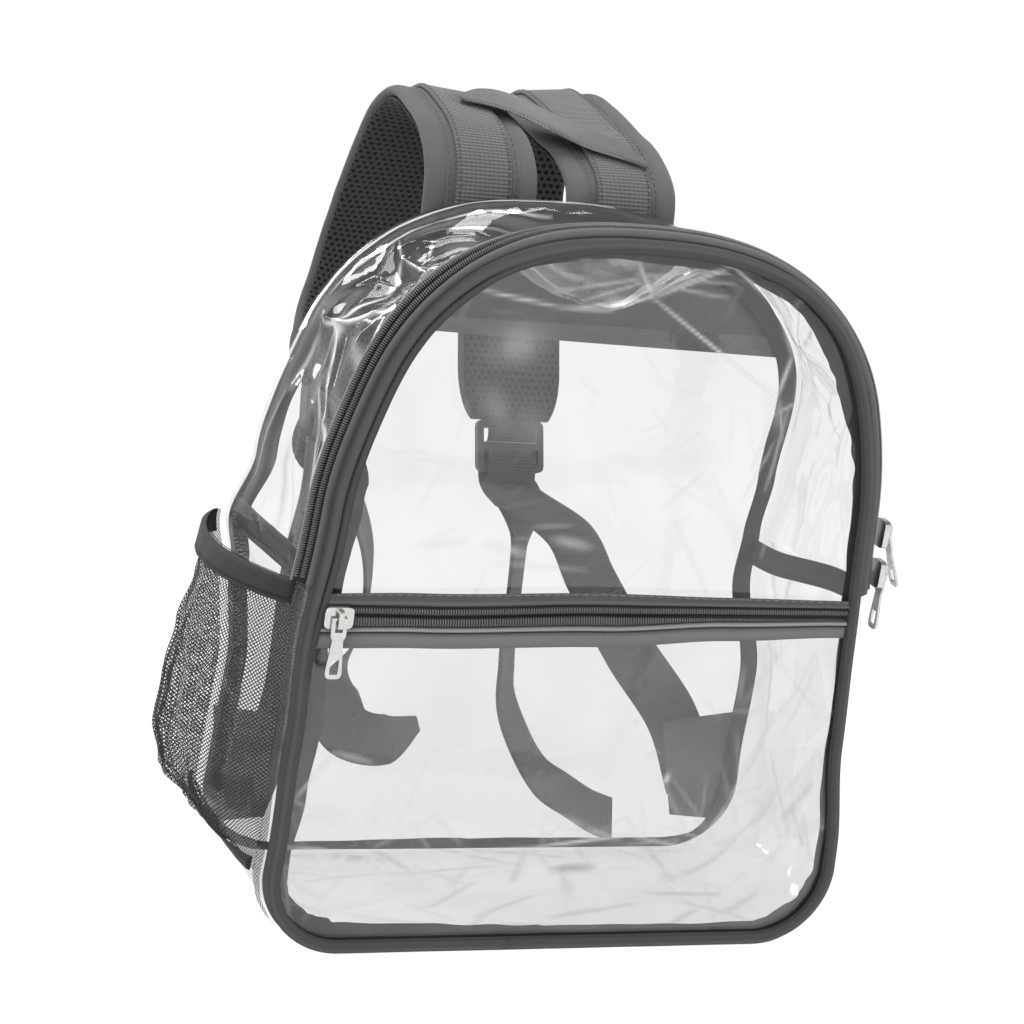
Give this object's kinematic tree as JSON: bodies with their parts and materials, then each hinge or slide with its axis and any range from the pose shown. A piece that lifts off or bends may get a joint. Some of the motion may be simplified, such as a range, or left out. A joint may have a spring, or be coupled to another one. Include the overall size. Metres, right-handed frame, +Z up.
{
  "type": "clear backpack",
  "caption": "Small clear arched backpack with grey fabric trim, front zip pocket, net side pocket, padded straps and a main zip round the top.",
  "frame": {"origin": "middle of the bag's flat bottom, on the floor", "axes": "+Z up, +X to the right of somebody facing the front, the front pocket faces -Y, the straps are on the +Y side"},
  "size_m": [0.3074, 0.2613, 0.3386],
  "materials": {
    "clear_sheet": "clear soft sheet, glossy",
    "trim": "woven grey tape with stitching",
    "zip_coil": "satin coil teeth",
    "nickel": "polished nickel plate",
    "strap_cloth": "plain grey weave",
    "air_mesh": "knitted spacer with round holes",
    "webbing": "ribbed flat weave",
    "net": "open net",
    "lock_plastic": "moulded dark grey"
  },
  "bodies": {
    "bag": {"front_panel": "clear_sheet", "pocket_panel": "clear_sheet", "back_panel": "clear_sheet", "upper_gusset": "clear_sheet", "lower_gusset": "clear_sheet", "front_binding": "trim", "front_seam_tape": "trim", "back_binding": "trim", "gusset_joint_left": "trim", "gusset_joint_right": "trim", "main_zip_flap": "trim", "main_zip_coil": "zip_coil", "main_zip_rear_tape": "trim", "pocket_zip_lower_tape": "trim", "pocket_zip_coil": "zip_coil", "pocket_zip_upper_tape": "trim", "pocket_slider": "nickel", "upper_slider": "nickel", "lower_slider": "nickel", "back_yoke": "strap_cloth", "strap_pad_left": "strap_cloth", "strap_lining_left": "air_mesh", "strap_webbing_left": "webbing", "strap_pad_right": "strap_cloth", "strap_lining_right": "air_mesh", "strap_webbing_right": "webbing", "haul_handle": "webbing", "ladder_lock_left": "lock_plastic", "ladder_lock_right": "lock_plastic", "anchor_tab_left": "strap_cloth", "anchor_tab_right": "strap_cloth", "lower_webbing_left": "webbing", "lower_webbing_right": "webbing", "webbing_tail_left": "webbing", "webbing_tail_right": "webbing", "side_pocket_net": "net", "side_pocket_elastic": "trim", "side_pocket_hem": "trim", "side_pocket_strip": "net"},
    "pocket_zip_pull": {"pocket_pull": "nickel"},
    "upper_zip_pull": {"upper_pull": "nickel"},
    "lower_zip_pull": {"lower_pull": "nickel"}
  },
  "joints": [
    {"name": "pocket_pull_swing", "type": "hinge", "parent": "bag", "child": "pocket_zip_pull", "pos_m": [-0.112, -0.0572, 0.147], "axis": [-1, 0, 0], "range_deg": [0, 150]},
    {"name": "upper_pull_swing", "type": "hinge", "parent": "bag", "child": "upper_zip_pull", "pos_m": [0.13423, -0.03715, 0.184], "axis": [0, -1, 0], "range_deg": [0, 130]},
    {"name": "lower_pull_swing", "type": "hinge", "parent": "bag", "child": "lower_zip_pull", "pos_m": [0.13584, -0.03715, 0.166], "axis": [0, -1, 0], "range_deg": [0, 40]}
  ]
}
